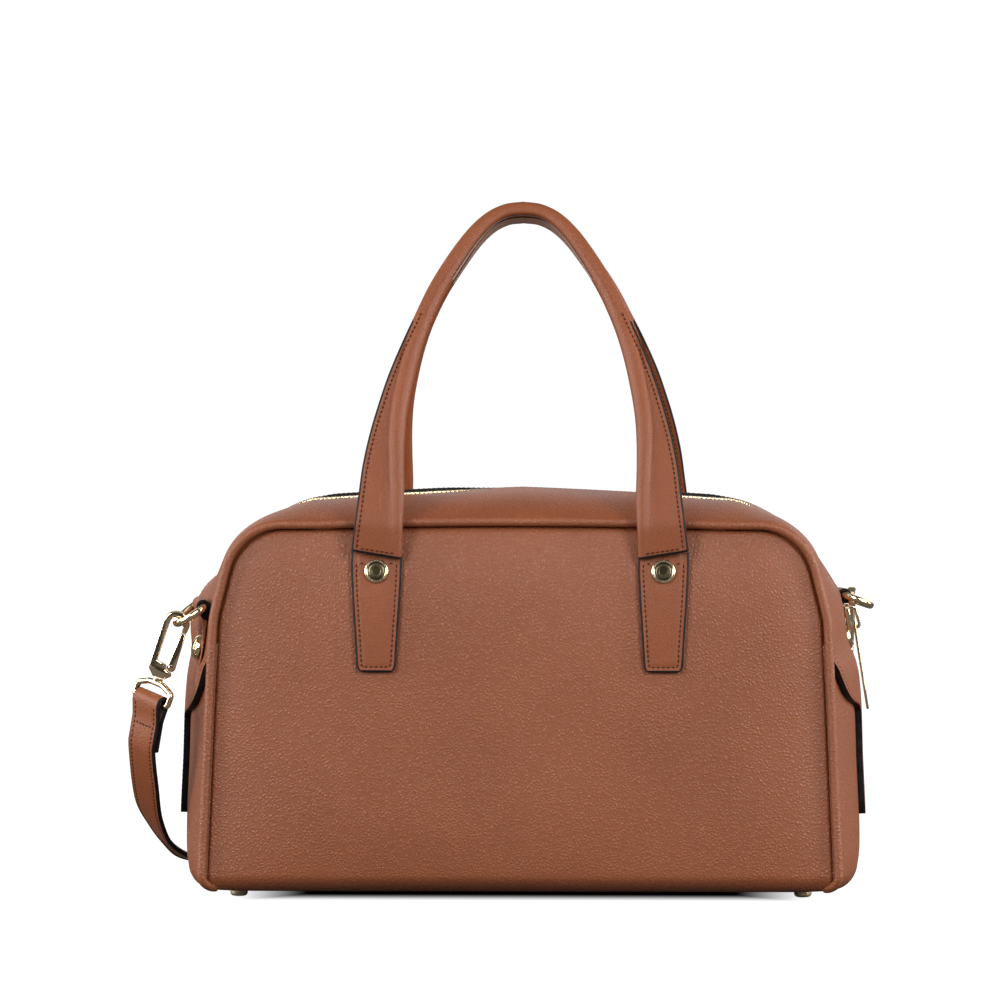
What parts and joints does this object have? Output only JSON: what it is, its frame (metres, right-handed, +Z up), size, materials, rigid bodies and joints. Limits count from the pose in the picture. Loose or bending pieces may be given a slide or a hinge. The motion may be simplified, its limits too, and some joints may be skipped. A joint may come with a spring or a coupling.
{
  "type": "bowling bag",
  "caption": "Leather bowling bag with a zip over the rounded top, rolled carrying handles on riveted tabs, side flaps, metal feet and a clip-on shoulder strap.",
  "frame": {"origin": "middle of the footprint, on the floor that the feet and the strap lie on", "axes": "+X to the right seen from the front, +Y to the back where the strap lies, +Z up"},
  "size_m": [0.3566, 0.3338, 0.3295],
  "materials": {
    "leather": "pebbled satin",
    "metal": "polished",
    "tape": "woven"
  },
  "bodies": {
    "bag": {"front_panel": "leather", "back_panel": "leather", "side_gusset_left": "leather", "side_gusset_right": "leather", "bottom_panel": "leather", "top_gusset": "leather", "piping_front": "leather", "piping_back": "leather", "handle_front": "leather", "handle_back": "leather", "shoulder_strap": "leather", "tab_front_left": "leather", "tab_front_right": "leather", "tab_back_left": "leather", "tab_back_right": "leather", "ring_loop_left": "leather", "ring_loop_right": "leather", "zip_teeth": "metal", "zip_slider": "metal", "foot_front_left": "metal", "foot_front_right": "metal", "foot_back_left": "metal", "foot_back_right": "metal", "rivet_front_left": "metal", "rivet_front_right": "metal", "rivet_back_left": "metal", "rivet_back_right": "metal", "stud_left": "metal", "stud_right": "metal", "d_ring_left": "metal", "d_ring_right": "metal", "clasp_hook_left": "metal", "clasp_hook_right": "metal", "strap_bracket_left": "metal", "strap_bracket_right": "metal", "zip_tape": "tape"},
    "zip_pull": {"zip_pull": "metal"},
    "gate_left": {"clasp_gate_left": "metal"},
    "gate_right": {"clasp_gate_right": "metal"}
  },
  "joints": [
    {"name": "zip_pull_swing", "type": "hinge", "parent": "bag", "child": "zip_pull", "pos_m": [0.16906, -0.09276, 0.12732], "axis": [0, -1, 0], "range_deg": [0, 120]},
    {"name": "gate_left_hinge", "type": "hinge", "parent": "bag", "child": "gate_left", "pos_m": [-0.1569, -0.13999, 0.10845], "axis": [0, -1, 0], "range_deg": [0, 20], "stiffness_Nm_per_rad": 0.02, "springref_deg": -11.46},
    {"name": "gate_right_hinge", "type": "hinge", "parent": "bag", "child": "gate_right", "pos_m": [0.16663, -0.03527, 0.11342], "axis": [-0.9992, 0, 0.04], "range_deg": [0, 20], "stiffness_Nm_per_rad": 0.02, "springref_deg": -11.46}
  ]
}
